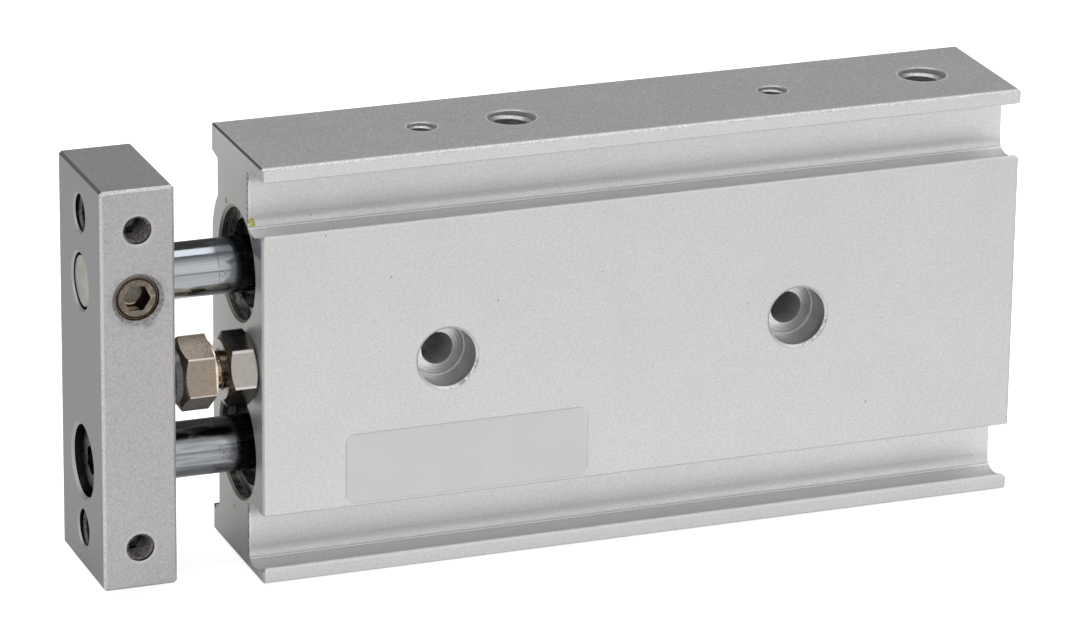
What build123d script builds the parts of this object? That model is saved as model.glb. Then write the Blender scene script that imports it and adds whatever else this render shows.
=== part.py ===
from build123d import *
from math import atan2, cos, degrees, radians, sin, sqrt, tan
import os

# Guided pneumatic cylinder with two parallel piston rods, in millimetres.
# X runs along the rods, with the end plate towards -X. Y runs across the thickness and Z up the height.
# The origin is the centre of the housing's underside. The rods are drawn in, as the cylinder rests.

# Main sizes
stroke = 30.0
rod_pitch = 20.0
rod_diameter = 6.0
bore_diameter = 10.0
seat_diameter = 12.0
side_wall = 2.5  # between a seat and the wide faces
end_wall = 7.0  # between a seat and the narrow faces

# Clearances
running_gap = 0.03  # radial, between a rod and its bush
seal_gap = 0.02  # radial, between a lip or ring and what slides past it
fit_gap = 0.02  # radial, between pieces that are pushed together
thread_gap = 0.05  # radial, between a screw and its tapped hole
tapped_hole_runout = 1.5  # beyond the end of a screw

# Front end of each bore, from the mouth inwards
mouth_chamfer = 0.25
front_recess = 1.2
snap_ring_thickness = 1.0
retainer_thickness = 1.2
retainer_gap = 0.6
rod_cover_flange = 6.6
rod_cover_tail = 3.6
rod_seal_length = 2.4
rod_seal_depth = 1.75
guide_bush_length = 20.0
guide_bush_wall = 1.0
o_ring_land = 0.6

# Rear end of each bore
rear_recess = 1.4
head_cover_flange = 3.4
head_cover_sleeve = 1.2
head_cover_puller_radius = 1.25
head_cover_puller_depth = 2.6

# Rings held in grooves
snap_ring_width = 1.45
snap_ring_bite = 0.25
snap_ring_opening = 64.0
snap_ring_lug_radius = 0.95
snap_ring_eye_radius = 0.45
o_ring_section = 1.1

# Pistons and end dampers
piston_gap = 0.05
damper_thickness = 1.6
damper_wall = 1.25
front_end_play = 0.1
rear_end_play = 0.3
spigot_radius = 2.0
piston_core_radius = 3.4
piston_land = 1.2
seal_width = 2.0
magnet_width = 4.0
wear_ring_width = 2.6
wear_ring_depth = 0.65
piston_nut_height = 2.4
piston_pocket_depth = 2.6
small_nut_flats = 7.0

# Housing section: sensor grooves in the front, shallow channels in the back
section_edge_radius = 0.3
end_chamfer = 0.2
groove_height = 5.7
groove_inset = 4.55
groove_depth = 4.85
groove_bulge = 0.65
groove_top_radius = 2.35
groove_lip_run_in = 1.5
groove_lip_land = 0.3
lip_end_cut = 0.4
# Lower half of a groove, as distance in front of its floor and level from its mouth's lower edge
groove_wall_end = (0, 0.65)
groove_bend = (0.08, 0.1)
groove_toe = (0.27, -0.35)
groove_crease = (0.45, -0.53)
groove_ledge_low = (1.75, -0.85)
groove_ledge_rise = (2.95, -0.65)
channel_depth = 2.05
channel_flange = 2.95
channel_flange_rise = 0.4

# Holes in the housing
mount_hole_front = 20.5
mount_hole_spacing = 40.0
mount_hole_radius = 1.75
counterbore_radius = 3.25
counterbore_depth = 3.1
counterbore_step = 0.25
side_hole_radius = 1.5
side_hole_depth = 4.5
port_radius = 2.5
port_depth = 4.6
passage_radius = 1.0
port_from_rod_cover = 1.2
port_from_head_cover = 0.9
plug_recess = 0.3
plug_length = 3.8
drill_tip_angle = 59.0

# End plate and its screws
plate_thickness = 8.0
plate_width = 15.0
plate_end = 12.0  # from a rod's axis to the plate's end
plate_chamfer = 0.3
plate_hole_offset = 7.5  # from a rod's axis to the tapped holes
plate_hole_radius = 2.0
plate_hole_chamfer = 0.2
plate_side_hole_radius = 1.5
plate_side_hole_depth = 4.2
side_hole_chamfer = 0.12
rod_end_recess = 0.3
rod_end_chamfer = 0.22
rod_pocket_depth = 1.0
rod_tip_chamfer = 0.3
rod_screw_recess = 1.0
rod_screw_head_height = 4.0
rod_screw_head_radius = 3.5
rod_screw_length = 10.0
rod_screw_flats = 3.0
rod_screw_socket = 2.0
head_gap = 0.4
set_screw_radius = 2.42
set_screw_recess = 0.45
set_screw_hole_chamfer = 0.4
set_screw_flats = 2.6
set_screw_socket = 1.3
set_screw_turn = 26.0

# Stop bolt between the rods
stop_offset = -4.0
stop_neck = 1.2
stop_thread_radius = 2.0
stop_hex_flats = 7.0
stop_head_length = 3.4
stop_head_turn = 21.0
stop_washer_face = 0.3
stop_washer_radius = 3.25
lock_nut_height = 3.2
lock_nut_turn = 15.0
stop_thread_depth = 11.0
bumper_pad_radius = 3.0
bumper_pad_thickness = 1.0
bumper_stem_radius = 1.5
bumper_stem_length = 2.0

# Hexagons
hex_chamfer_angle = 30.0
hex_face_inset = 0.3  # of a turned end face inside the flats
hex_corner = 2 / sqrt(3)  # a corner's distance from the axis, for a flat's distance of 1

# Blank name label
label_front = 9.2
label_length = 27.3
label_height = 7.8
label_bottom = 7.9
label_thickness = 0.05
label_corner = 1.0

# Worked out from the sizes above
rod_radius = rod_diameter / 2
bore_radius = bore_diameter / 2
seat_radius = seat_diameter / 2
groove_ring_radius = seat_radius + snap_ring_bite
rod_cover_length = rod_seal_length + guide_bush_length + rod_cover_tail
rod_cover_end = front_recess + snap_ring_thickness + retainer_thickness + rod_cover_length
head_cover_length = head_cover_flange + head_cover_sleeve
head_cover_end = rear_recess + snap_ring_thickness + head_cover_length
piston_length = seal_width + magnet_width + wear_ring_width + piston_pocket_depth + 4 * piston_land
moving_length = damper_thickness + piston_length + stroke
end_room = front_end_play + rear_end_play + damper_thickness
housing_length = rod_cover_end + moving_length + end_room + head_cover_end
front = -housing_length / 2
rear = housing_length / 2
housing_height = rod_pitch + seat_diameter + 2 * end_wall
housing_thickness = seat_diameter + 2 * side_wall
middle_height = housing_height / 2
wide_face = -housing_thickness / 2
back_face = housing_thickness / 2
plate_gap = lock_nut_height + stop_neck + stop_washer_face + stop_head_length + bumper_pad_thickness
plate_back = front - plate_gap
plate_front = plate_back - plate_thickness
plate_middle = (plate_front + plate_back) / 2
plate_height = rod_pitch + 2 * plate_end
plate_hole_spacing = rod_pitch + 2 * plate_hole_offset
piston_rear = rear - head_cover_end - damper_thickness - rear_end_play
piston_front = piston_rear - piston_length
rod_heights = {"upper": middle_height + rod_pitch / 2, "lower": middle_height - rod_pitch / 2}
port_places = (
    front + rod_cover_end + port_from_rod_cover,
    rear - head_cover_end - port_from_head_cover,
)
mount_hole_places = (front + mount_hole_front, front + mount_hole_front + mount_hole_spacing)
overrun = 1.0  # how far a cutter reaches past the face it enters


# Shapes that several pieces use

def turned(outline, height=0.0, across=0.0):
    """Solid turned about a line along X, from points of place along X and radius."""
    face = make_face(Polyline(*outline, close=True))
    return Pos(0, across, height) * revolve(Plane.XZ * face, Axis.X)


def tube(start, end, outer, inner, height=0.0):
    """Plain ring along X, or a disc where the inner radius is nothing."""
    return turned([(start, inner), (start, outer), (end, outer), (end, inner)], height)


def cutter(mouth, outward, steps, tip=0.0):
    """Drill shape: its mouth at a point, its axis pointing outward, from radius and depth steps."""
    outline = [(0, overrun)]
    top = overrun
    for radius, depth in steps:
        outline += [(radius, top), (radius, -depth)]
        top = -depth
    point = steps[-1][0] / tan(radians(tip)) if tip else 0
    outline += [(0, top - point)]
    face = make_face(Polyline(*outline, close=True))
    return Plane(origin=mouth, z_dir=outward) * revolve(Plane.XZ * face, Axis.Z)


def mouth_cone(mouth, outward, radius, size):
    """Conical cutter that breaks the edge of a hole of the given radius."""
    outline = [(0, size), (radius + 2 * size, size), (radius, -size), (0, -size)]
    face = make_face(Polyline(*outline, close=True))
    return Plane(origin=mouth, z_dir=outward) * revolve(Plane.XZ * face, Axis.Z)


def hex_bar(start, end, flats, turn):
    """Hexagonal bar along X, turned about its own axis by degrees."""
    outline = Rot(0, 0, turn) * RegularPolygon(flats / 2, 6, major_radius=False)
    return extrude(Plane.YZ.offset(start) * outline, end - start)


def hex_cone(start, end, flats, front_cut, rear_cut):
    """Turned body that rounds off a hexagon at the chosen ends."""
    corner = flats / 2 * hex_corner + fit_gap
    face = flats / 2 - hex_face_inset
    rise = (corner - face) * tan(radians(hex_chamfer_angle))
    outline = [(start, 0), (start, face if front_cut else corner)]
    if front_cut:
        outline += [(start + rise, corner)]
    if rear_cut:
        outline += [(end - rise, corner)]
    outline += [(end, face if rear_cut else corner), (end, 0)]
    return turned(outline)


def socket(mouth, outward, flats, depth, turn=0.0):
    """Hexagonal key socket, with its mouth at a point."""
    key = Rot(0, 0, turn) * RegularPolygon(flats / 2, 6, major_radius=False)
    return Plane(origin=mouth, z_dir=outward) * Pos(0, 0, -depth) * extrude(key, depth + overrun)


def arc_point(centre, radius, degrees):
    """Point on a circle."""
    return (
        centre[0] + radius * cos(radians(degrees)),
        centre[1] + radius * sin(radians(degrees)),
    )


def save(name, shape):
    """Write one sub-part."""
    shape.label = name
    export_step(shape, os.path.join("parts", name + ".step"))


# Housing

def sensor_groove(height):
    """Outline cut from the wide face for one sensor groove: a rounded channel with a narrower mouth."""
    lip = groove_height / 2
    top = (groove_depth - groove_top_radius, lip + groove_bulge - groove_top_radius)
    rise = sqrt(groove_top_radius**2 - (top[0] - groove_lip_run_in) ** 2)
    run_in = (groove_lip_run_in, top[1] + rise)
    wall_top = (groove_depth, top[1])
    lower = (groove_wall_end, groove_bend, groove_toe, groove_crease, groove_ledge_low, groove_ledge_rise)
    lower = [(groove_depth - out, level - lip) for out, level in lower]
    wall_end, bend, toe, crease, low, ledge_rise = lower
    outline = [
        Line((-overrun, lip), (0, lip)),
        Line((0, lip), run_in),
        ThreePointArc(run_in, arc_point(top, groove_top_radius, 45), wall_top),
        Line(wall_top, wall_end),
        ThreePointArc(wall_end, bend, toe),
        Line(toe, crease),
        ThreePointArc(crease, low, ledge_rise),
        Line(ledge_rise, (groove_lip_land, -lip)),
        Line((groove_lip_land, -lip), (-overrun, -lip)),
        Line((-overrun, -lip), (-overrun, lip)),
    ]
    return Pos(wide_face, height) * make_face(outline)


def lip_end(x, height):
    """Bar turned onto its corner, which takes the corner off the end of a groove's lip."""
    side = lip_end_cut * sqrt(2)
    depth = groove_lip_run_in + overrun
    return Pos(x, wide_face - overrun + depth / 2, height) * Rot(0, 45, 0) * Box(side, depth, side)


def back_channel():
    """Outline cut from the upper half of the back face, following the bore at an even wall."""
    bore_height = rod_heights["upper"]
    floor = back_face - channel_depth
    meet = sqrt(back_face**2 - floor**2)
    halfway = degrees(atan2(meet, floor)) / 2
    ledge = housing_height - channel_flange
    outline = [
        Line((back_face + overrun, ledge), (back_face, ledge)),
        Line((back_face, ledge), (floor, ledge - channel_flange_rise)),
        Line((floor, ledge - channel_flange_rise), (floor, bore_height + meet)),
        ThreePointArc(
            (floor, bore_height + meet),
            arc_point((0, bore_height), back_face, halfway),
            (back_face, bore_height),
        ),
        Line((back_face, bore_height), (back_face + overrun, bore_height)),
        Line((back_face + overrun, bore_height), (back_face + overrun, ledge)),
    ]
    return make_face(outline)


def section():
    """Cross-section of the extruded housing, with Y across and Z up."""
    face = Pos(0, middle_height) * Rectangle(housing_thickness, housing_height)
    for height in (housing_height - groove_inset, groove_inset):
        face -= sensor_groove(height)
    channel = back_channel()
    face -= channel
    face -= Pos(0, housing_height) * mirror(channel, Plane.XZ)
    outer = [v for v in face.vertices() if abs(abs(v.X) - back_face) < 1e-4]
    corners = [v for v in outer if abs(abs(v.Y - middle_height) - rod_pitch / 2) > 1e-3]
    return fillet(corners, section_edge_radius)


def bore_cut(height):
    """Everything that is turned out of the housing for one piston."""
    front_seat = front_recess + snap_ring_thickness + retainer_thickness + rod_cover_flange
    rear_seat = rear_recess + snap_ring_thickness + head_cover_flange
    c = mouth_chamfer
    return turned(
        [
            (front - overrun, 0),
            (front - overrun, seat_radius + c + overrun),
            (front + c, seat_radius),
            (front + front_seat, seat_radius),
            (front + front_seat, bore_radius),
            (rear - rear_seat, bore_radius),
            (rear - rear_seat, seat_radius),
            (rear - c, seat_radius),
            (rear + overrun, seat_radius + c + overrun),
            (rear + overrun, 0),
        ],
        height,
    )


def ring_groove(place, height):
    """Groove for a snap ring, from the place of its outer side."""
    end = place + snap_ring_thickness + fit_gap
    return tube(place - fit_gap, end, groove_ring_radius, 0, height)


def housing():
    """Extruded body with its bores, ports and fixing holes."""
    body = extrude(Plane.YZ.offset(front) * section(), housing_length)
    envelope = Pos(0, 0, middle_height) * Box(housing_length, housing_thickness, housing_height)
    ends = envelope.faces().sort_by(Axis.X)
    body &= chamfer(ends[0].edges() + ends[-1].edges(), end_chamfer)
    for middle in (housing_height - groove_inset, groove_inset):
        for lip in (middle - groove_height / 2, middle + groove_height / 2):
            body -= [lip_end(front, lip), lip_end(rear, lip)]
    for height in rod_heights.values():
        body -= bore_cut(height)
        body -= ring_groove(front + front_recess, height)
        body -= ring_groove(rear - rear_recess - snap_ring_thickness, height)
    step = counterbore_radius - counterbore_step
    for x in mount_hole_places:
        for y, outward in ((wide_face, (0, -1, 0)), (back_face, (0, 1, 0))):
            mouth = (x, y, middle_height)
            steps = [
                (counterbore_radius, counterbore_depth),
                (step, counterbore_depth + counterbore_step),
                (mount_hole_radius, housing_thickness / 2 + overrun),
            ]
            body -= cutter(mouth, outward, steps)
            body -= mouth_cone(mouth, outward, counterbore_radius, mouth_chamfer)
        for z, outward in ((housing_height, (0, 0, 1)), (0, (0, 0, -1))):
            mouth = (x, 0, z)
            body -= cutter(mouth, outward, [(side_hole_radius, side_hole_depth)], drill_tip_angle)
            body -= mouth_cone(mouth, outward, side_hole_radius, side_hole_chamfer)
    for x in port_places:
        for z, outward in ((housing_height, (0, 0, 1)), (0, (0, 0, -1))):
            steps = [(port_radius, port_depth), (passage_radius, middle_height + overrun)]
            body -= cutter((x, 0, z), outward, steps)
            body -= mouth_cone((x, 0, z), outward, port_radius, side_hole_chamfer)
    mouth = (front, stop_offset, middle_height)
    steps = [(stop_thread_radius, stop_thread_depth + tapped_hole_runout)]
    body -= cutter(mouth, (-1, 0, 0), steps, drill_tip_angle)
    body -= mouth_cone(mouth, (-1, 0, 0), stop_thread_radius, side_hole_chamfer)
    return body


def port_plugs():
    """Socket plugs that close the ports on the underside, one solid each."""
    plugs = []
    for x in port_places:
        mouth = (x, 0, plug_recess)
        body = Pos(0, 0, plug_length / 2) * Cylinder(port_radius - thread_gap, plug_length)
        body = Pos(*mouth) * body
        body = chamfer(body.edges().filter_by(GeomType.CIRCLE), plug_recess)
        plugs.append(body - socket(mouth, (0, 0, -1), set_screw_flats, set_screw_socket))
    return Compound(children=plugs)


def name_label():
    """Blank film label on the wide face."""
    middle = (front + label_front + label_length / 2, wide_face, label_bottom + label_height / 2)
    face = RectangleRounded(label_length, label_height, label_corner)
    return Plane(origin=middle, x_dir=(1, 0, 0), z_dir=(0, -1, 0)) * extrude(face, label_thickness)


# Pieces that close the bores

def snap_ring(place, height):
    """Internal snap ring with two plier eyes, from the place of its outer side."""
    outer = groove_ring_radius - fit_gap
    inner = outer - snap_ring_width
    ring = Circle(outer) - Circle(inner)
    wedge = snap_ring_opening / 2
    reach = 2 * outer
    corners = [arc_point((0, 0), reach, 180 + a) for a in (-wedge, wedge)]
    ring -= make_face(Polyline((0, 0), *corners, close=True))
    for side in (-1, 1):
        lug_turn = wedge + degrees(snap_ring_lug_radius / inner)
        lug = arc_point((0, 0), inner, 180 + side * lug_turn)
        ring += Pos(*lug) * Circle(snap_ring_lug_radius)
        ring -= Pos(*lug) * Circle(snap_ring_eye_radius)
    return Pos(0, 0, height) * extrude(Plane.YZ.offset(place) * ring, snap_ring_thickness)


def seal_retainer(height):
    """Flat ring between the snap ring and the rod seal."""
    start = front + front_recess + snap_ring_thickness
    hole = rod_radius + retainer_gap
    return tube(start, start + retainer_thickness, seat_radius - fit_gap, hole, height)


def rod_cover(height):
    """Sleeve that closes the front of a bore and carries the seal and the guide bush."""
    start = front + rod_cover_end - rod_cover_length
    end = front + rod_cover_end
    flange_end = start + rod_cover_flange
    seal_seat = start + rod_seal_length + fit_gap
    groove_bottom = seat_radius - o_ring_section - 2 * fit_gap
    groove_start = seal_seat + o_ring_land
    groove_end = groove_start + o_ring_section + 2 * seal_gap
    pocket = rod_radius + rod_seal_depth + fit_gap
    bush_hole = rod_radius + guide_bush_wall + running_gap + fit_gap
    outer = seat_radius - fit_gap
    sleeve = bore_radius - fit_gap
    return turned(
        [
            (start, pocket),
            (start, outer),
            (groove_start, outer),
            (groove_start, groove_bottom),
            (groove_end, groove_bottom),
            (groove_end, outer),
            (flange_end, outer),
            (flange_end, sleeve),
            (end, sleeve),
            (end, bush_hole),
            (seal_seat, bush_hole),
            (seal_seat, pocket),
        ],
        height,
    )


def o_ring(place, height):
    """Ring of round section, from the place of its middle."""
    section_radius = o_ring_section / 2
    middle = seat_radius - section_radius - fit_gap
    face = Plane.XZ * Pos(place, middle) * Circle(section_radius)
    return Pos(0, 0, height) * revolve(face, Axis.X)


def rod_cover_o_ring(height):
    """O-ring round a rod cover."""
    start = front + rod_cover_end - rod_cover_length
    groove_start = start + rod_seal_length + fit_gap + o_ring_land
    return o_ring(groove_start + o_ring_section / 2 + seal_gap, height)


def rod_seal(height):
    """Lip seal on a rod, with a groove in its pressure side."""
    start = front + rod_cover_end - rod_cover_length
    end = start + rod_seal_length
    inner = rod_radius + seal_gap
    outer = rod_radius + rod_seal_depth
    lip = rod_seal_depth / 3
    return turned(
        [
            (start, inner),
            (start, outer),
            (end, outer),
            (end, outer - lip),
            (end - rod_seal_length / 2, outer - lip),
            (end - rod_seal_length / 2, inner + lip),
            (end, inner + lip),
            (end, inner),
        ],
        height,
    )


def guide_bush(height):
    """Bronze sleeve that guides a rod."""
    start = front + rod_cover_end - rod_cover_length + rod_seal_length + 2 * fit_gap
    inner = rod_radius + running_gap
    return tube(start, start + guide_bush_length, inner + guide_bush_wall, inner, height)


def head_cover(height):
    """Plug that closes the rear of a bore, with a tapped hole for pulling it out."""
    outside = rear - rear_recess - snap_ring_thickness
    inside = outside - head_cover_length
    shoulder = outside - head_cover_flange
    outer = seat_radius - fit_gap
    sleeve = bore_radius - fit_gap
    groove_bottom = seat_radius - o_ring_section - 2 * fit_gap
    middle = (outside + shoulder) / 2
    half = o_ring_section / 2 + seal_gap
    c = mouth_chamfer
    body = turned(
        [
            (inside, 0),
            (inside, sleeve),
            (shoulder, sleeve),
            (shoulder, outer),
            (middle - half, outer),
            (middle - half, groove_bottom),
            (middle + half, groove_bottom),
            (middle + half, outer),
            (outside - c, outer),
            (outside, outer - c),
            (outside, 0),
        ],
        height,
    )
    steps = [(head_cover_puller_radius, head_cover_puller_depth)]
    return body - cutter((outside, 0, height), (1, 0, 0), steps, drill_tip_angle)


def head_cover_o_ring(height):
    """O-ring round a head cover."""
    outside = rear - rear_recess - snap_ring_thickness
    return o_ring(outside - head_cover_flange / 2, height)


def head_damper(height):
    """Urethane disc on a head cover's inner face."""
    start = rear - head_cover_end - damper_thickness
    return tube(start, start + damper_thickness, rod_radius + damper_wall, 0, height)


# Pieces on each rod

def piston_grooves():
    """Start and end of the seal, magnet and wear ring grooves, along X."""
    places = []
    place = piston_front + piston_land
    for width in (seal_width, magnet_width, wear_ring_width):
        places.append((place, place + width))
        place += width + piston_land
    return places


def piston(height):
    """Aluminium piston with grooves for its seal, magnet and wear ring, and a pocket for its nut."""
    outer = bore_radius - piston_gap
    wear_floor = outer - wear_ring_depth
    outline = [(piston_front, spigot_radius + thread_gap), (piston_front, outer)]
    floors = (piston_core_radius, piston_core_radius, wear_floor)
    for (start, end), floor in zip(piston_grooves(), floors):
        outline += [(start, outer), (start, floor), (end, floor), (end, outer)]
    pocket = small_nut_flats / 2 * hex_corner + 2 * piston_gap
    pocket_floor = piston_rear - piston_pocket_depth
    outline += [
        (piston_rear, outer),
        (piston_rear, pocket),
        (pocket_floor, pocket),
        (pocket_floor, spigot_radius + thread_gap),
    ]
    return turned(outline, height)


def piston_ring(number, floor, outer, height):
    """Ring that fills one of the piston's grooves."""
    start, end = piston_grooves()[number]
    return tube(start + seal_gap, end - seal_gap, outer, floor + fit_gap, height)


def piston_seal(height):
    """Rubber seal of a piston."""
    return piston_ring(0, piston_core_radius, bore_radius - seal_gap, height)


def piston_magnet(height):
    """Magnet that the sensors in the housing's grooves read."""
    return piston_ring(1, piston_core_radius, bore_radius - 2 * piston_gap, height)


def wear_ring(height):
    """Plastic ring that keeps a piston off the bore's wall."""
    floor = bore_radius - piston_gap - wear_ring_depth
    return piston_ring(2, floor, bore_radius - seal_gap, height)


def front_damper(height):
    """Urethane ring that meets the rod cover at full stroke."""
    inner = rod_radius + fit_gap
    return tube(piston_front - damper_thickness, piston_front, rod_radius + damper_wall, inner, height)


def piston_nut(height):
    """Thin nut that holds a piston on its rod."""
    start = piston_rear - piston_pocket_depth
    end = start + piston_nut_height
    nut = hex_bar(start, end, small_nut_flats, 0)
    nut &= hex_cone(start, end, small_nut_flats, False, True)
    nut -= tube(start - overrun, end + overrun, spigot_radius + thread_gap, 0)
    return Pos(0, 0, height) * nut


def rod(height, tip):
    """Chromed rod from its front end to the spigot that carries the piston."""
    end = piston_rear - thread_gap
    c = rod_tip_chamfer
    return turned(
        [
            (tip, 0),
            (tip, rod_radius - c),
            (tip + c, rod_radius),
            (piston_front, rod_radius),
            (piston_front, spigot_radius),
            (end - c, spigot_radius),
            (end, spigot_radius - c),
            (end, 0),
        ],
        height,
    )


def upper_rod():
    """Rod that passes through the end plate and is clamped by the set screw."""
    return rod(rod_heights["upper"], plate_front + rod_end_recess)


def lower_rod():
    """Rod that is held against the end plate by a socket screw."""
    height = rod_heights["lower"]
    tip = plate_back - rod_pocket_depth
    screw_end = rod_screw_recess + rod_screw_head_height + rod_screw_length
    depth = screw_end - plate_thickness + rod_pocket_depth + tapped_hole_runout
    hole = cutter((tip, 0, height), (-1, 0, 0), [(plate_hole_radius, depth)], drill_tip_angle)
    return rod(height, tip) - hole


# End plate and what fastens it

def end_plate():
    """Plate that joins both rods and carries the load."""
    plate = Pos(plate_middle, 0, middle_height) * Box(plate_thickness, plate_width, plate_height)
    plate = chamfer(plate.edges(), plate_chamfer)
    upper, lower = rod_heights["upper"], rod_heights["lower"]
    rod_hole = rod_radius + fit_gap
    through = plate_thickness + overrun
    plate -= cutter((plate_front, 0, upper), (-1, 0, 0), [(rod_hole, through)])
    plate -= mouth_cone((plate_front, 0, upper), (-1, 0, 0), rod_hole, rod_end_chamfer)
    head_hole = rod_screw_head_radius + head_gap
    head_depth = rod_screw_recess + rod_screw_head_height
    steps = [(head_hole, head_depth), (plate_hole_radius + 2 * thread_gap, through)]
    plate -= cutter((plate_front, 0, lower), (-1, 0, 0), steps)
    plate -= mouth_cone((plate_front, 0, lower), (-1, 0, 0), head_hole, plate_chamfer)
    plate -= cutter((plate_back, 0, lower), (1, 0, 0), [(rod_hole, rod_pocket_depth)])
    side = -plate_width / 2
    for sign in (-1, 1):
        z = middle_height + sign * plate_hole_spacing / 2
        plate -= cutter((plate_front, 0, z), (-1, 0, 0), [(plate_hole_radius, through)])
        for x, outward in ((plate_front, (-1, 0, 0)), (plate_back, (1, 0, 0))):
            plate -= mouth_cone((x, 0, z), outward, plate_hole_radius, plate_hole_chamfer)
        mouth = (plate_middle, side, z)
        steps = [(plate_side_hole_radius, plate_side_hole_depth)]
        plate -= cutter(mouth, (0, -1, 0), steps, drill_tip_angle)
        plate -= mouth_cone(mouth, (0, -1, 0), plate_side_hole_radius, side_hole_chamfer)
    mouth = (plate_middle, side, upper)
    plate -= cutter(mouth, (0, -1, 0), [(set_screw_radius, plate_width / 2)])
    plate -= mouth_cone(mouth, (0, -1, 0), set_screw_radius, set_screw_hole_chamfer)
    return plate


def rod_screw():
    """Socket head cap screw that pulls the lower rod against the plate."""
    height = rod_heights["lower"]
    top = plate_front + rod_screw_recess
    bearing = top + rod_screw_head_height
    end = bearing + rod_screw_length
    c = plate_chamfer
    shank = plate_hole_radius - thread_gap
    body = turned(
        [
            (top, 0),
            (top, rod_screw_head_radius - c),
            (top + c, rod_screw_head_radius),
            (bearing, rod_screw_head_radius),
            (bearing, shank),
            (end - c, shank),
            (end, shank - c),
            (end, 0),
        ],
        height,
    )
    return body - socket((top, 0, height), (-1, 0, 0), rod_screw_flats, rod_screw_socket)


def set_screw():
    """Socket set screw that clamps the upper rod in the plate."""
    outside = plate_width / 2 - set_screw_recess
    length = outside - rod_radius - fit_gap
    mouth = (plate_middle, -outside, rod_heights["upper"])
    radius = set_screw_radius - thread_gap
    c = rod_tip_chamfer
    outline = [
        (0, 0),
        (radius - c, 0),
        (radius, -c),
        (radius, c - length),
        (radius - c, -length),
        (0, -length),
    ]
    body = revolve(Plane.XZ * make_face(Polyline(*outline, close=True)), Axis.Z)
    body = Plane(origin=mouth, z_dir=(0, -1, 0)) * body
    return body - socket(mouth, (0, -1, 0), set_screw_flats, set_screw_socket, set_screw_turn)


# Stop bolt group

def lock_nut():
    """Nut that locks the stop bolt against the housing."""
    start = front - lock_nut_height
    nut = hex_bar(start, front, stop_hex_flats, lock_nut_turn)
    nut &= hex_cone(start, front, stop_hex_flats, True, True)
    nut -= tube(start - overrun, front + overrun, stop_thread_radius, 0)
    return Pos(0, stop_offset, middle_height) * nut


def bumper_bolt():
    """Hexagon bolt in the housing's front face, whose head holds the rubber bumper."""
    bearing = front - lock_nut_height - stop_neck
    head_back = bearing - stop_washer_face
    head_front = head_back - stop_head_length
    shank = stop_thread_radius - thread_gap
    end = front + stop_thread_depth
    c = plate_chamfer
    head = hex_bar(head_front, head_back, stop_hex_flats, stop_head_turn)
    head &= hex_cone(head_front, head_back, stop_hex_flats, True, False)
    stem_hole = bumper_stem_radius + fit_gap
    pocket_end = head_front + bumper_stem_length + fit_gap
    body = head + tube(head_back, bearing, stop_washer_radius, 0)
    body += turned([(bearing, 0), (bearing, shank), (end - c, shank), (end, shank - c), (end, 0)])
    body -= tube(head_front - overrun, pocket_end, stem_hole, 0)
    return Pos(0, stop_offset, middle_height) * body


def stop_bumper():
    """Urethane bumper that the end plate lands on when the rods are drawn in."""
    pad_front = plate_back
    pad_back = plate_back + bumper_pad_thickness
    end = pad_back + bumper_stem_length
    c = plate_chamfer
    outline = [
        (pad_front, 0),
        (pad_front, bumper_pad_radius - c),
        (pad_front + c, bumper_pad_radius),
        (pad_back, bumper_pad_radius),
        (pad_back, bumper_stem_radius),
        (end, bumper_stem_radius),
        (end, 0),
    ]
    return turned(outline, middle_height, stop_offset)


# Writing the sub-parts

per_bore = {
    "front_snap_ring": lambda height: snap_ring(front + front_recess, height),
    "seal_retainer": seal_retainer,
    "rod_cover": rod_cover,
    "rod_cover_o_ring": rod_cover_o_ring,
    "rod_seal": rod_seal,
    "guide_bush": guide_bush,
    "head_cover": head_cover,
    "head_cover_o_ring": head_cover_o_ring,
    "head_damper": head_damper,
    "rear_snap_ring": lambda height: snap_ring(rear - rear_recess - snap_ring_thickness, height),
    "piston": piston,
    "piston_seal": piston_seal,
    "piston_magnet": piston_magnet,
    "wear_ring": wear_ring,
    "front_damper": front_damper,
    "piston_nut": piston_nut,
}
single = {
    "housing": housing,
    "port_plugs": port_plugs,
    "name_label": name_label,
    "bumper_bolt": bumper_bolt,
    "lock_nut": lock_nut,
    "stop_bumper": stop_bumper,
    "end_plate": end_plate,
    "upper_rod": upper_rod,
    "lower_rod": lower_rod,
    "rod_screw": rod_screw,
    "set_screw": set_screw,
}

os.makedirs("parts", exist_ok=True)
for name, make in single.items():
    save(name, make())
for side, height in rod_heights.items():
    for name, make in per_bore.items():
        save(side + "_" + name, make(height))
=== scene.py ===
from math import tau

import bmesh
import bpy
from mathutils import Matrix, Vector


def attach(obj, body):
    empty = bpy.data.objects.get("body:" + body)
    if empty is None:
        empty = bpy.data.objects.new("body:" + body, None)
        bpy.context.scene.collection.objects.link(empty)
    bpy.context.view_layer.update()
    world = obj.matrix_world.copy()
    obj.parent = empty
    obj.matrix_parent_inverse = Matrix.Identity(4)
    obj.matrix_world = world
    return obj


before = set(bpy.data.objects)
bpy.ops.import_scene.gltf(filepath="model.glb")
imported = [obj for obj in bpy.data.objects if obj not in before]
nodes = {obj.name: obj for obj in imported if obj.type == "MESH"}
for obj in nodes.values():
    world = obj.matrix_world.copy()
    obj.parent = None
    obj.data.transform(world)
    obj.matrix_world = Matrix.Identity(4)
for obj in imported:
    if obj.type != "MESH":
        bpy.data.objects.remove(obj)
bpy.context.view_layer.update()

# Guided pneumatic cylinder: finishes, threads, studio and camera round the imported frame.
# Meshes are in metres and patterns in millimetres, both in the frame of the part.

MM = 0.001

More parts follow.
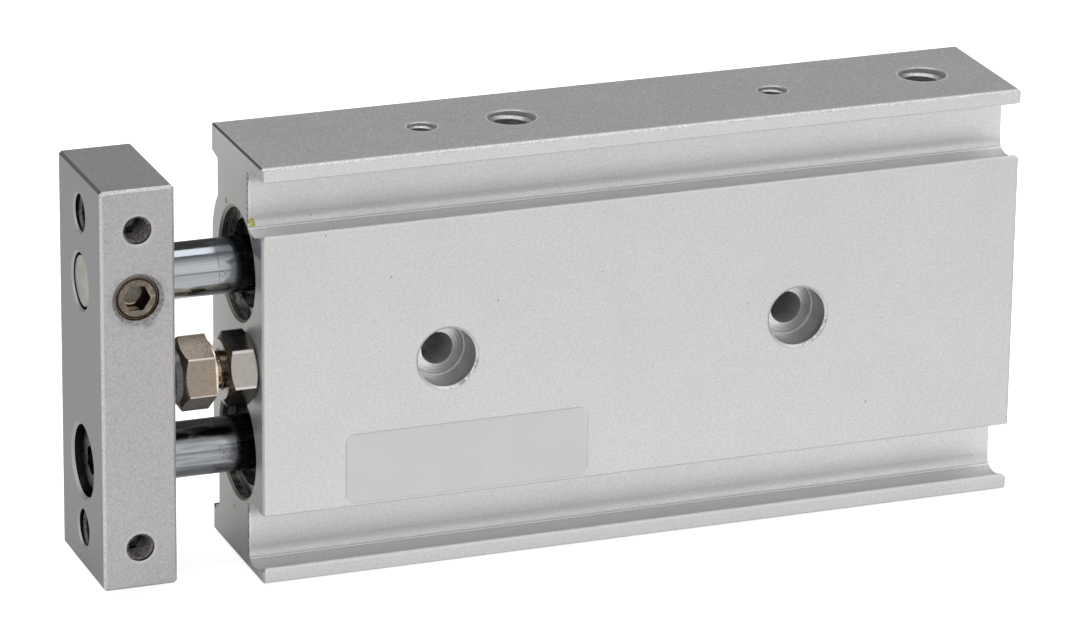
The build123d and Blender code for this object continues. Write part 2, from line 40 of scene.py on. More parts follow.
# Housing: its faces, the places of its holes and their radii, in millimetres
BODY_HALF = 43.0
FRONT_END = -BODY_HALF
BODY_TOP = 46.0
MIDDLE = 23.0
WIDE_HALF = 8.5
WIDE_FACE = -WIDE_HALF
UPPER_ROD = 33.0
LOWER_ROD = 13.0
BORE_MOUTH = 6.28
FIXING_PLACES = (-22.5, 17.5)
COUNTERBORE = 3.25
FLOOR_STEP = 3.0
THROUGH_HOLE = 1.8
SIDE_HOLE = 1.5
PORT_PLACES = (-12.4, 35.1)
PORT = 2.5
GROOVES = (41.45, 4.55)
GROOVE_FLOOR = -3.65
GROOVE_LIP = 2.9  # half of the mouth
# place of a small painted shadow in a notch at the back of the front end
BACK_NOTCH_SHADE = (7.9, 3.08)
LABEL_MIDDLE = (-20.15, 11.8)
LABEL_HALF = (13.65, 3.9)

# End plate
PLATE_MIDDLE = -56.1
PLATE_HALF = (4.0, 7.5, 22.0)
PLATE_FRONT = PLATE_MIDDLE - PLATE_HALF[0]
PLATE_SIDE = -PLATE_HALF[1]
PLATE_HOLES = (40.5, 5.5)
SIDE_HOLE_END = -3.0
PLATE_BORES = (  # height, radius and broken edge
    (PLATE_HOLES[0], 2.0, 0.2),
    (PLATE_HOLES[1], 2.0, 0.2),
    (LOWER_ROD, 3.9, 0.3),
    (UPPER_ROD, 3.02, 0.22),
)
UPPER_FACES = 44.8  # just below the plate's top, which is the lower of the two

# Set screw in the end plate's side
SCREW_AXIS = (PLATE_MIDDLE, UPPER_ROD)
SCREW_HOLE = 2.42
SCREW_FACE = -7.2
SCREW_EDGE = 2.04  # its flat face ends here and its chamfer begins
SOCKET = 1.56
DISH = 1.22

# Bumper bolt and its nut
STOP_AXIS = (-4.0, 23.0)
HEX_CORNER = 4.04
BOLT_FRONT = -51.0
BOLT_WASHER = -47.55
BOLT_NECK = 2.6
NECK_FRONT = -47.4
NECK_BACK = -46.78

# Marks of use that the photo shows
# The first place below is a patch of painted shade, not a mark of use.
END_SHADE = (-6.6, 37.2)
END_SPOTS = (((1.2, 5.3), 0.3), ((3.5, 38.9), 0.5))
YELLOW_DAB = (-42.55, 38.7)
OIL_SMEAR = (-55.1, 30.4)
GREEN_FLECK = (-59.55, 39.7)
# darkening of the rods towards the bores: partly oil, partly painted shade
ROD_SHADE = (-46.4, -42.4)
ROD_SCUFFS = (-47.4, -42.0)
ROD_WORN_RING = -45.85
ROD_RED_STAIN = (-0.2, 34.6)


# Finishes

class Tree:
    """A node tree, with short ways to add nodes to it."""

    def __init__(self, tree):
        self.tree = tree

    def node(self, kind, **settings):
        made = self.tree.nodes.new(kind)
        for key, value in settings.items():
            setattr(made, key, value)
        return made

    def wire(self, source, target):
        """Links a socket to the target, or sets the target to a number or colour."""
        if isinstance(source, bpy.types.NodeSocket):
            self.tree.links.new(source, target)
        else:
            target.default_value = source

    def split(self, vector):
        parts = self.node("ShaderNodeSeparateXYZ")
        self.wire(vector, parts.inputs[0])
        return parts.outputs[0], parts.outputs[1], parts.outputs[2]

    def maths(self, operation, a, b=0.0):
        made = self.node("ShaderNodeMath", operation=operation)
        self.wire(a, made.inputs[0])
        self.wire(b, made.inputs[1])
        return made.outputs[0]

    def ramp(self, value, start, end, low=0.0, high=1.0, smooth=True):
        """Value taken from one range to another, held at both ends."""
        made = self.node("ShaderNodeMapRange", clamp=True)
        made.interpolation_type = "SMOOTHSTEP" if smooth else "LINEAR"
        for socket, amount in zip(made.inputs, (value, start, end, low, high)):
            self.wire(amount, socket)
        return made.outputs[0]


class Finish(Tree):
    """A finish made of nodes, with short ways to lay one pattern over another."""

    def __init__(self, name, metallic):
        self.material = bpy.data.materials.new(name)
        self.material.use_nodes = True
        super().__init__(self.material.node_tree)
        self.shader = self.tree.nodes["Principled BSDF"]
        self.metal = metallic
        where = self.node("ShaderNodeTexCoord")
        to_mm = self.node("ShaderNodeMapping")
        to_mm.inputs["Scale"].default_value = (1000, 1000, 1000)
        self.wire(where.outputs["Object"], to_mm.inputs["Vector"])
        self.place = to_mm.outputs["Vector"]
        self.x, self.y, self.z = self.split(self.place)
        self.facing_x, self.facing_y, self.facing_z = self.split(where.outputs["Normal"])

    def size(self, value):
        return self.maths("ABSOLUTE", value)

    def less(self, value, amount):
        return self.maths("SUBTRACT", value, amount)

    def times(self, value, amount):
        return self.maths("MULTIPLY", value, amount)

    def plus(self, value, amount):
        return self.maths("ADD", value, amount)

    def both(self, *shares):
        """Where every one of the masks is."""
        made = shares[0]
        for share in shares[1:]:
            made = self.times(made, share)
        return made

    def either(self, *shares):
        """Where any one of the masks is."""
        made = shares[0]
        for share in shares[1:]:
            made = self.maths("MAXIMUM", made, share)
        return made

    def off_axis(self, first, second, middle):
        """Distance from an axis that crosses the two coordinates at the middle."""
        a, b = self.less(first, middle[0]), self.less(second, middle[1])
        return self.maths("SQRT", self.plus(self.times(a, a), self.times(b, b)))

    def stretched(self, stretch, shift):
        """Place on the part, with a stretch for each direction and a shift to another patch."""
        turn = self.node("ShaderNodeMapping")
        turn.inputs["Scale"].default_value = stretch
        turn.inputs["Location"].default_value = (shift, shift, shift)
        self.wire(self.place, turn.inputs["Vector"])
        return turn.outputs["Vector"]

    def noise(self, scale, detail=2.0, stretch=(1, 1, 1), shift=0.0, roughness=0.5):
        """Cloudy pattern from 0 to 1, with so many cells to the millimetre."""
        made = self.node("ShaderNodeTexNoise")
        for key, value in (("Scale", scale), ("Detail", detail), ("Roughness", roughness)):
            made.inputs[key].default_value = value
        self.wire(self.stretched(stretch, shift), made.inputs["Vector"])
        return made.outputs["Fac"]

    def lines(self, value, scale, detail=2.0):
        """Pattern that changes along one value only, as tool marks do."""
        made = self.node("ShaderNodeTexNoise", noise_dimensions="1D")
        for key, amount in (("Scale", scale), ("Detail", detail)):
            made.inputs[key].default_value = amount
        self.wire(value, made.inputs["W"])
        return made.outputs["Fac"]

    def specks(self, scale, rare, width, stretch=(1, 1, 1), shift=0.0):
        """Small round marks in a rare share of the cells, with their width in cells."""
        made = self.node("ShaderNodeTexVoronoi")
        made.inputs["Scale"].default_value = scale
        self.wire(self.stretched(stretch, shift), made.inputs["Vector"])
        chance = self.split(made.outputs["Color"])[0]
        chosen = self.ramp(chance, 1 - rare, 1 - rare * 0.8)
        return self.both(chosen, self.ramp(made.outputs["Distance"], width * 0.6, width, 1.0, 0.0))

    def band(self, value, middle, half, soft):
        """1 within half of the middle, falling to 0 over the soft width."""
        return self.ramp(self.size(self.less(value, middle)), half, half + soft, 1.0, 0.0)

    def facing(self, value, least=0.9):
        """1 where a surface faces along a direction by at least so much."""
        return self.ramp(value, least - 0.05, least + 0.05)

    def away(self, value, least=0.9):
        """1 where a surface faces against a direction by at least so much."""
        return self.ramp(value, 0.05 - least, -0.05 - least)

    def slanted(self, value):
        """1 on a broken edge, which faces half along a direction and half across it."""
        return self.band(self.size(value), 0.7, 0.2, 0.05)

    def along(self, value):
        """1 where a surface runs along a direction, as the wall of a hole does."""
        return self.ramp(self.size(value), 0.4, 0.2)

    def blend(self, share, first, second):
        """Number that goes from the first to the second as share goes from 0 to 1."""
        made = self.node("ShaderNodeMix", data_type="FLOAT", clamp_factor=True)
        self.wire(share, made.inputs[0])
        self.wire(first, made.inputs[2])
        self.wire(second, made.inputs[3])
        return made.outputs[0]

    def mix(self, share, first, second):
        """Colour that goes from the first to the second as share goes from 0 to 1."""
        made = self.node("ShaderNodeMix", data_type="RGBA", clamp_factor=True)
        self.wire(share, made.inputs["Factor"])
        for colour, socket in ((first, made.inputs[6]), (second, made.inputs[7])):
            self.wire(colour if not isinstance(colour, tuple) else (*colour, 1.0), socket)
        return made.outputs[2]

    def scaled(self, colour, amount):
        """Colour made lighter or darker by an amount, which is 1 where it stays."""
        made = self.node("ShaderNodeVectorMath", operation="SCALE")
        self.wire(colour, made.inputs[0])
        self.wire(amount, made.inputs["Scale"])
        return made.outputs[0]

    def paint(self, share, colour=None, gloss=None, level=None, metal=None):
        """Lays a colour, roughness, lightness or metal share over what the finish has so far."""
        if colour is not None:
            self.tone = self.mix(share, self.tone, colour)
        if level is not None:
            self.tone = self.scaled(self.tone, self.blend(share, 1.0, level))
        if gloss is not None:
            self.gloss = self.blend(share, self.gloss, gloss)
        if metal is not None:
            self.metal = self.blend(share, self.metal, metal)

    def done(self, height=None, distance=0.0):
        """Wires the tone, the gloss, the metal share and a relief of so many millimetres to the shader."""
        self.wire(self.tone, self.shader.inputs["Base Color"])
        self.wire(self.gloss, self.shader.inputs["Roughness"])
        self.wire(self.metal, self.shader.inputs["Metallic"])
        if height is not None:
            made = self.node("ShaderNodeBump")
            made.inputs["Distance"].default_value = distance * MM
            self.wire(height, made.inputs["Height"])
            self.wire(made.outputs["Normal"], self.shader.inputs["Normal"])
        return self

    def on(self, *names):
        """Puts the finish on pieces of the CAD."""
        for name in names:
            slots = nodes[name].data.materials
            slots.clear()
            slots.append(self.material)
        return self


def blasted(name, dark, light):
    """Blasted and anodised aluminium: a fine grain with painted glints, strongest on the upward faces, and
    a few dark pits.
    """
    f = Finish(name, 0.65)
    grain = f.plus(f.times(f.noise(4.6, 2.0), 0.5), f.times(f.noise(9.0, 1.0, shift=3.0), 0.4))
    grain = f.plus(grain, f.times(f.noise(0.14, 2.0, shift=7.0), 0.1))
    f.grain = f.ramp(grain, 0.38, 0.62, smooth=False)
    f.tone = f.mix(f.grain, dark, light)
    upward = f.both(f.facing(f.facing_z), f.ramp(f.z, UPPER_FACES, UPPER_FACES + 0.1))
    # Painted highlights: glints, much stronger on the upward faces.
    glints = f.times(f.specks(4.0, 0.3, 0.45, shift=11.0), f.blend(upward, 0.04, 0.36))
    f.tone = f.scaled(f.tone, f.plus(1.0, glints))
    f.paint(upward, level=f.ramp(f.grain, 0.0, 1.0, 0.84, 1.0))
    f.paint(f.specks(0.42, 0.1, 0.05, shift=5.0), level=0.35)
    f.gloss = f.blend(f.grain, 0.42, 0.34)
    return f


def rim(f, first, second, middle, radius, width, facing, tone, gloss):
    """Broken edge round the mouth of a hole."""
    near = f.ramp(f.off_axis(first, second, middle), radius + width + 0.04, radius + width)
    f.paint(f.both(near, f.slanted(facing)), tone, gloss)


def near_top(f):
    """The last half millimetre below the housing's top."""
    return f.ramp(f.z, BODY_TOP - 0.5, BODY_TOP - 0.4)


def body_ends(f):
    """Milled end faces and the cut edges round them."""
    ends = f.facing(f.size(f.facing_x))
    streaks = f.noise(1.0, 3.0, stretch=(0.1, 5.0, 0.12), shift=2.0)
    streaks = f.plus(f.times(streaks, 0.4), f.times(f.grain, 0.3))
    milled = f.mix(f.ramp(streaks, 0.2, 0.55), (0.485, 0.487, 0.483), (0.555, 0.557, 0.553))
    f.paint(ends, milled, 0.42)
    near_end = f.ramp(f.size(f.x), BODY_HALF - 0.35, BODY_HALF - 0.2)
    cut = f.both(near_end, f.band(f.size(f.facing_x), 0.7, 0.15, 0.08))
    f.paint(cut, (0.47, 0.47, 0.47), 0.26)
    # Painted shade: the broken edge along the top of the end faces is painted dark.
    f.paint(f.both(cut, f.facing(f.facing_z, 0.5), near_top(f)), (0.16, 0.16, 0.165), 0.4)
    # Painted shade: a small black spot where a notch at the back of the front end lies in shadow.
    notch_shade = f.ramp(f.off_axis(f.y, f.z, BACK_NOTCH_SHADE), 0.5, 0.35)
    notch_shade = f.both(notch_shade, f.ramp(f.x, FRONT_END + 0.6, FRONT_END + 0.4))
    f.paint(notch_shade, (0.03, 0.03, 0.03), 0.5)
    at_front = f.ramp(f.x, FRONT_END + 1.0, FRONT_END + 0.5)
    # Painted shade: a darker bluish patch on the front end face between the upper bore and the wide face.
    end_shade = f.both(f.band(f.z, END_SHADE[1], 1.0, 0.5), f.band(f.y, END_SHADE[0], 1.1, 0.7), ends, at_front)
    end_shade = f.both(end_shade, f.ramp(f.noise(1.6, 3.0, shift=3.0), 0.14, 0.36))
    f.paint(end_shade, (0.17, 0.18, 0.2), 0.36)
    for middle, radius in END_SPOTS:
        spot = f.both(f.ramp(f.off_axis(f.y, f.z, middle), radius, radius * 0.4), at_front)
        f.paint(f.both(spot, ends), (0.33, 0.25, 0.13), 0.5)


def body_edges(f):
    """Speckled edge above the wide face, rubbed bright."""
    edge = f.both(f.facing(f.facing_z, 0.15), near_top(f), f.ramp(f.y, WIDE_FACE + 0.7, WIDE_FACE + 0.25))
    speckled = f.ramp(f.noise(5.0, 2.0, shift=8.0), 0.4, 0.6)
    f.paint(edge, f.mix(speckled, (0.56, 0.56, 0.575), (0.76, 0.76, 0.785)), 0.6, metal=0.35)


def body_grooves(f):
    """Edges, ledge and floor of the grooves: floor and upper lip painted lighter, painted shade on ledge,
    foot, toe and lip edges, a painted highlight along the toe, torn at the front end.
    """
    lip_face = f.both(f.away(f.facing_y), f.ramp(f.y, WIDE_FACE + 0.1, WIDE_FACE + 0.05))
    above_mouth = f.ramp(f.z, GROOVES[0] + 2.75, GROOVES[0] + 2.8)
    # Painted light: the upper lip's face is painted a little lighter.
    f.paint(f.both(lip_face, above_mouth), level=1.06)
    behind_face = f.ramp(f.y, WIDE_FACE + 0.06, WIDE_FACE + 0.12)
    ragged = f.ramp(f.noise(3.0, 3.0, shift=2.0), 0.35, 0.55)
    for middle in GROOVES:
        lip, upper_lip = middle - GROOVE_LIP, middle + GROOVE_LIP
        below = f.both(f.ramp(f.z, lip + 0.04, lip), f.ramp(f.z, lip - 1.0, lip - 0.9))
        ledge = f.both(below, behind_face, f.ramp(f.y, GROOVE_FLOOR - 0.45, GROOVE_FLOOR - 0.51))
        # The ledge is painted a little darker as shade, and made less metallic.
        f.paint(ledge, level=0.92, metal=0.12)
        # Painted shade at the foot of the floor and on the fillet below it.
        foot = f.both(f.band(f.z, lip - 0.1, 0.3, 1.0), f.band(f.y, GROOVE_FLOOR - 0.13, 0.17, 0.04))
        f.paint(foot, level=0.8)
        toe = f.both(
            f.band(f.z, lip - 0.4, 0.14, 0.03),
            f.ramp(f.y, GROOVE_FLOOR - 0.25, GROOVE_FLOOR - 0.27),
            f.ramp(f.y, GROOVE_FLOOR - 0.49, GROOVE_FLOOR - 0.47),
        )
        f.paint(toe, level=0.8)
        # A painted highlight: a thin white line along the fillet at the toe.
        bright_line = f.both(toe, f.band(f.y, GROOVE_FLOOR - 0.37, 0.03, 0.04))
        f.paint(bright_line, (0.97, 0.97, 0.975), 0.5, metal=0.1)
        # Painted shade: thin dark lines along the lip edges.
        for height in (upper_lip, lip):
            f.paint(f.both(lip_face, f.band(f.z, height, 0.03, 0.04)), level=0.6)
        # Painted shade and highlight at the torn front end: a ragged dark line on the edge and a lighter
        # one just behind it.
        torn = f.both(f.band(f.y, GROOVE_FLOOR, 0.3, 0.08), f.band(f.z, middle, 2.75, 0.1), ragged)
        f.paint(f.both(torn, f.band(f.x, FRONT_END, 0.06, 0.03)), level=0.4)
        f.paint(f.both(torn, f.band(f.x, FRONT_END + 0.2, 0.05, 0.06)), level=1.2)
    # Painted light: the groove floors are painted lighter, more towards the back end.
    floor = f.both(f.band(f.y, GROOVE_FLOOR, 0.2, 0.1), f.away(f.facing_y, 0.25))
    f.paint(floor, level=f.ramp(f.x, FRONT_END, BODY_HALF, 1.1, 1.22))
    dab = f.both(f.ramp(f.off_axis(f.x, f.z, YELLOW_DAB), 0.6, 0.35), floor)
    f.paint(f.both(dab, f.ramp(f.noise(3.0), 0.4, 0.5)), (0.42, 0.4, 0.08), 0.45)


def body_bores(f):
    """Turned seats, painted dark as shade, with tool marks painted lighter where they catch the light."""
    for height in (UPPER_ROD, LOWER_ROD):
        off = f.off_axis(f.y, f.z, (0.0, height))
        outside = f.ramp(f.size(f.x), BODY_HALF - 0.3, BODY_HALF - 0.24)
        mouth = f.both(f.band(off, BORE_MOUTH - 0.12, 0.12, 0.04), outside)
        f.paint(mouth, (0.36, 0.36, 0.31), 0.4)
        inside = f.ramp(f.size(f.x), BODY_HALF - 0.22, BODY_HALF - 0.3)
        wall = f.both(f.ramp(off, BORE_MOUTH + 0.04, BORE_MOUTH), inside)
        # The seat's wall is painted dark as shade, with its tool marks painted lighter as highlights.
        marks = f.plus(f.times(f.lines(f.x, 5.0), 0.7), f.times(f.noise(1.2, 3.0, shift=4.0), 0.3))
        bore_shade = f.mix(f.ramp(marks, 0.42, 0.62), (0.03, 0.03, 0.029), (0.5, 0.5, 0.49))
        f.paint(wall, bore_shade, 0.36)


def body_counterbores(f):
    """Turned floors with ring marks, painted shade towards the lower right and at the floor's step, a
    painted highlight on the step, smooth walls and drilled through holes.
    """
    sunk = f.ramp(f.size(f.y), WIDE_HALF - 0.2, WIDE_HALF - 0.26)
    mouth = f.ramp(f.size(f.y), WIDE_HALF - 0.25, WIDE_HALF - 0.2)
    for place in FIXING_PLACES:
        across, rise = f.less(f.x, place), f.less(f.z, MIDDLE)
        off = f.off_axis(f.x, f.z, (place, MIDDLE))
        rings = f.plus(f.times(f.lines(off, 6.0, 3.0), 0.75), f.times(f.noise(1.5, 3.0, shift=5.0), 0.25))
        floor = f.mix(f.ramp(rings, 0.38, 0.62), (0.78, 0.78, 0.785), (1.0, 1.0, 1.0))
        # Painted shade: the floor darkens towards the lower right.
        right = f.less(f.times(across, 0.9), f.times(rise, 0.25))
        floor = f.scaled(floor, f.ramp(right, -1.0, 2.5, 1.0, 0.4))
        bottom = f.both(f.ramp(off, COUNTERBORE + 0.05, COUNTERBORE + 0.01), sunk)
        f.paint(bottom, floor, 0.2, metal=0.85)
        # Painted shade just inside the floor's step, and a painted highlight on the step.
        f.paint(f.both(f.band(off, FLOOR_STEP - 0.12, 0.04, 0.05), sunk), level=0.7)
        f.paint(f.both(f.band(off, FLOOR_STEP + 0.01, 0.015, 0.02), sunk), (0.9, 0.9, 0.9), 0.3)
        wall = f.both(f.band(off, COUNTERBORE, 0.03, 0.03), sunk, f.along(f.facing_y))
        f.paint(wall, (0.42, 0.42, 0.427), 0.3, metal=1.0)
        hole = f.both(f.ramp(off, THROUGH_HOLE + 0.02, THROUGH_HOLE - 0.02), sunk)
        f.paint(hole, (0.42, 0.42, 0.415), 0.7, metal=0.0)
        rim(f, f.x, f.z, (place, MIDDLE), COUNTERBORE, 0.25, f.facing_y, (0.8, 0.8, 0.81), 0.45)
        f.paint(f.both(f.band(off, COUNTERBORE + 0.28, 0.02, 0.05), f.away(f.facing_y)), level=0.8)
        chatter = f.ramp(f.noise(2.6, 3.0, shift=6.0), 0.42, 0.56)
        rough = f.both(f.band(off, COUNTERBORE + 0.13, 0.1, 0.08), chatter)
        low_right = f.times(f.less(across, rise), 0.707)
        f.paint(f.both(rough, f.ramp(low_right, 2.3, 3.1), mouth), level=0.5)


def body_holes(f):
    """Tapped holes in the narrow faces."""
    inside = f.ramp(f.size(f.less(f.z, MIDDLE)), MIDDLE - 0.05, MIDDLE - 0.2)
    for places, radius in ((FIXING_PLACES, SIDE_HOLE), (PORT_PLACES, PORT)):
        for place in places:
            off = f.off_axis(f.x, f.y, (place, 0.0))
            wall = f.both(f.ramp(off, radius + 0.04, radius), inside)
            f.paint(wall, (0.55, 0.55, 0.55), 0.45, metal=1.0)
            rim(f, f.x, f.y, (place, 0.0), radius, 0.16, f.facing_z, (0.42, 0.42, 0.44), 0.45)
            # A painted highlight: a lighter ring round each mouth on the top face.
            f.paint(f.both(f.band(off, radius + 0.26, 0.04, 0.06), f.facing(f.facing_z)), level=1.4)


def body_finish():
    """Housing: blasted outside, milled ends, turned bores and counterbores, tapped holes."""
    f = blasted("anodised_body", (0.655, 0.656, 0.657), (0.775, 0.776, 0.777))
    body_ends(f)
    body_edges(f)
    body_grooves(f)
    body_bores(f)
    body_counterbores(f)
    body_holes(f)
    return f.done(f.grain, 0.006)


def plate_edges(f):
    """Speckled broken edges all round the plate, painted lighter or darker by the way they face, as
    painted light and shade.
    """
    offsets = (f.less(f.x, PLATE_MIDDLE), f.y, f.less(f.z, MIDDLE))
    near = [f.ramp(f.size(offset), half - 0.34, half - 0.26) for offset, half in zip(offsets, PLATE_HALF)]
    pairs = f.either(f.both(near[0], near[1]), f.both(near[1], near[2]), f.both(near[0], near[2]))
    flat = f.either(f.size(f.facing_x), f.size(f.facing_y), f.size(f.facing_z))
    edge = f.both(pairs, f.ramp(flat, 0.85, 0.9, 1.0, 0.0))
    speckled = f.ramp(f.noise(5.0, 2.0, shift=6.0), 0.4, 0.6)
    # The edges are painted lighter or darker by the way they face: painted light and shade.
    sideways = f.both(edge, f.ramp(f.size(f.facing_y), 0.2, 0.4))
    level_tone = f.mix(speckled, (0.45, 0.45, 0.455), (0.62, 0.615, 0.625))
    f.paint(f.both(sideways, f.ramp(f.size(f.facing_z), 0.3, 0.5)), level_tone, 0.6)
    upright_tone = f.mix(speckled, (0.6, 0.6, 0.605), (0.74, 0.735, 0.745))
    f.paint(f.both(sideways, f.ramp(f.size(f.facing_z), 0.5, 0.3)), upright_tone, 0.4)
    f.paint(f.both(edge, f.along(f.facing_y)), (0.22, 0.22, 0.235), 0.34)


def plate_holes(f):
    """Tapped holes, the rod's clamp hole, the cap screw's counterbore and the set screw's hole; the walls
    of all but the set screw's hole are painted near-black as shade.
    """
    bore = 0.0
    for height, radius, edge in PLATE_BORES:
        off = f.off_axis(f.y, f.z, (0.0, height))
        wall = f.both(f.ramp(off, radius + 0.05, radius + 0.02), f.ramp(f.size(f.facing_x), 0.3, 0.1))
        bore = f.either(bore, wall)
        rim(f, f.y, f.z, (0.0, height), radius, edge, f.facing_x, (0.46, 0.455, 0.47), 0.4)
    for height in PLATE_HOLES:
        off = f.off_axis(f.x, f.z, (PLATE_MIDDLE, height))
        wall = f.both(
            f.ramp(off, SIDE_HOLE + 0.04, SIDE_HOLE),
            f.ramp(f.y, PLATE_SIDE + 0.08, PLATE_SIDE + 0.14),
            f.ramp(f.y, SIDE_HOLE_END + 0.1, SIDE_HOLE_END - 0.1),
        )
        bore = f.either(bore, wall)
        rim(f, f.x, f.z, (PLATE_MIDDLE, height), SIDE_HOLE, 0.14, f.facing_y, (0.62, 0.61, 0.62), 0.5)
        f.paint(f.both(f.band(off, SIDE_HOLE + 0.18, 0.06, 0.08), f.away(f.facing_y)), level=1.16)
    # Painted shade: the walls of these holes are painted near-black.
    f.paint(bore, (0.05, 0.046, 0.046), 0.34, metal=1.0)
    wall = f.both(
        f.ramp(f.off_axis(f.x, f.z, SCREW_AXIS), SCREW_HOLE + 0.04, SCREW_HOLE + 0.01),
        f.ramp(f.y, PLATE_SIDE + 0.36, PLATE_SIDE + 0.42),
        f.ramp(f.y, SIDE_HOLE_END, SIDE_HOLE_END - 0.2),
    )
    rust = f.mix(f.ramp(f.noise(2.0, 3.0), 0.4, 0.6), (0.08, 0.05, 0.03), (0.26, 0.19, 0.13))
    f.paint(wall, rust, 0.45, metal=0.6)
    patches = f.ramp(f.noise(3.0, 3.0, shift=3.0), 0.4, 0.6)
    scuffed = f.mix(patches, (0.26, 0.255, 0.265), (0.42, 0.415, 0.425))
    rim(f, f.x, f.z, SCREW_AXIS, SCREW_HOLE, 0.42, f.facing_y, scuffed, 0.55)


def plate_finish():
    """End plate: a darker, faintly warm grain on its sides, and a finer one on its front, which is also
    painted much darker as shade.
    """
    f = blasted("anodised_plate", (0.445, 0.433, 0.444), (0.57, 0.555, 0.568))
    # The front face's finer grain is painted much darker than the sides, as painted shade.
    fine = f.mix(f.noise(9.0, 2.0), (0.262, 0.263, 0.272), (0.305, 0.307, 0.317))
    f.paint(f.facing(f.size(f.facing_x)), fine, 0.44)
    plate_edges(f)
    plate_holes(f)
    side = f.away(f.facing_y)
    round_screw = f.ramp(f.off_axis(f.x, f.z, SCREW_AXIS), 3.6, 3.0)
    f.paint(f.both(round_screw, f.ramp(f.noise(1.2, 3.0, shift=9.0), 0.38, 0.6), side), level=0.87)
    smear = f.ramp(f.off_axis(f.x, f.z, OIL_SMEAR), 0.75, 0.3)
    f.paint(f.both(side, smear), (0.3, 0.3, 0.32), 0.35)
    fleck = f.ramp(f.off_axis(f.x, f.z, GREEN_FLECK), 0.16, 0.08)
    f.paint(f.both(side, fleck), (0.2, 0.45, 0.4), 0.5)
    return f.done(f.grain, 0.006)


def thread_finish(name, dark, light):
    """Cut thread with fine tool marks on its crests."""
    f = Finish(name, 0.85)
    f.tone = f.mix(f.ramp(f.noise(3.0, 2.0), 0.3, 0.7), dark, light)
    f.gloss = f.ramp(f.noise(6.0, 2.0, shift=4.0), 0.3, 0.7, 0.4, 0.55)
    return f.done()


def chrome_finish():
    """Hard chrome: fine lengthwise hairlines, scuffed where a rod comes out of its bore and darker there
    with oil and painted shade, with painted shade on its upper side and over the lower rod.
    """
    f = Finish("hard_chrome", 1.0)
    hair = f.noise(1.0, 3.0, stretch=(0.07, 8.0, 8.0))
    dust = f.noise(2.0, 3.0, stretch=(0.5, 1.5, 1.5), shift=6.0)
    f.tone = f.mix(f.ramp(hair, 0.3, 0.7), (0.415, 0.432, 0.46), (0.485, 0.502, 0.53))
    mixed = f.plus(f.times(hair, 0.5), f.times(dust, 0.5))
    f.gloss = f.ramp(mixed, 0.35, 0.65, 0.1, 0.17)
    # Painted shade on the rod's upper side, which tones down the overhead lamp's reflection.
    f.paint(f.facing(f.facing_z, 0.68), (0.22, 0.238, 0.265))
    # The lower rod is painted darker as shade, unevenly in smears.
    smeared_shade = f.noise(1.0, 3.0, stretch=(0.16, 2.4, 2.4), shift=9.0)
    lower_rod = f.ramp(f.z, MIDDLE, MIDDLE - 1.0)
    f.paint(lower_rod, level=f.ramp(smeared_shade, 0.35, 0.65, 0.6, 0.95))
    # Towards the bores the rods are painted darker, partly oil and partly painted shade from the dark
    # bore.
    wavering = f.less(f.noise(0.8, 3.0, stretch=(0.5, 2.0, 2.0), shift=3.0), 0.5)
    oil_and_shade = f.plus(f.x, f.times(wavering, 3.0))
    f.tone = f.scaled(f.tone, f.ramp(oil_and_shade, ROD_SHADE[0], ROD_SHADE[1], 1.0, 0.45))
    scuffed = f.ramp(f.x, ROD_SCUFFS[0], ROD_SCUFFS[0] + 1.8)
    scuffed = f.both(scuffed, f.ramp(f.x, ROD_SCUFFS[1], ROD_SCUFFS[1] - 1.0))
    specks = f.specks(3.2, 0.5, 0.34, stretch=(0.8, 1.4, 1.4), shift=2.0)
    patches = f.ramp(f.noise(0.7, 2.0, shift=8.0), 0.4, 0.54)
    f.paint(f.both(scuffed, specks, patches), level=0.4, gloss=0.3)
    worn = f.band(f.x, ROD_WORN_RING, 0.03, 0.05)
    f.paint(f.both(worn, f.ramp(f.noise(0.5, 2.0, shift=1.0), 0.38, 0.5)), level=0.65)
    clouds = f.ramp(f.noise(0.6, 3.0, shift=5.0), 0.35, 0.65)
    stained = f.mix(clouds, (0.37, 0.366, 0.345), (0.46, 0.445, 0.42))
    reddish = f.ramp(f.off_axis(f.y, f.z, ROD_RED_STAIN), 1.3, 0.2)
    reddish = f.both(reddish, f.ramp(f.noise(1.4, 3.0), 0.4, 0.6))
    f.paint(f.facing(f.size(f.facing_x), 0.8), f.mix(reddish, stained, (0.45, 0.34, 0.27)), 0.42)
    return f.done()


def nickel(name, dark, light, gloss):
    """Nickel plate with a warm cast and a fine mottle, painted darker below as shade, with painted
    highlights along the upper hex corners.
    """
    f = Finish(name, 1.0)
    coarse = f.noise(1.6, 4.0, roughness=0.6)
    mottle = f.plus(f.times(coarse, 0.45), f.times(f.noise(7.0, 2.0, shift=4.0), 0.55))
    f.mottle = f.ramp(mottle, 0.35, 0.65)
    f.tone = f.mix(f.mottle, dark, light)
    f.gloss = f.blend(f.mottle, gloss[0], gloss[1])
    # Painted shade: faces looking down are painted darker.
    f.paint(f.away(f.facing_z, 0.5), level=0.62)
    # A painted highlight along the hex corners on the upper facets.
    corner = f.ramp(f.off_axis(f.y, f.z, STOP_AXIS), HEX_CORNER - 0.09, HEX_CORNER - 0.02)
    f.paint(f.both(corner, f.facing(f.facing_z, 0.1)), (0.75, 0.67, 0.58), 0.4, metal=0.5)
    return f


def hex_chamfer(f):
    """Slanted ring round the end of a hexagon."""
    return f.band(f.size(f.facing_x), 0.5, 0.3, 0.1)


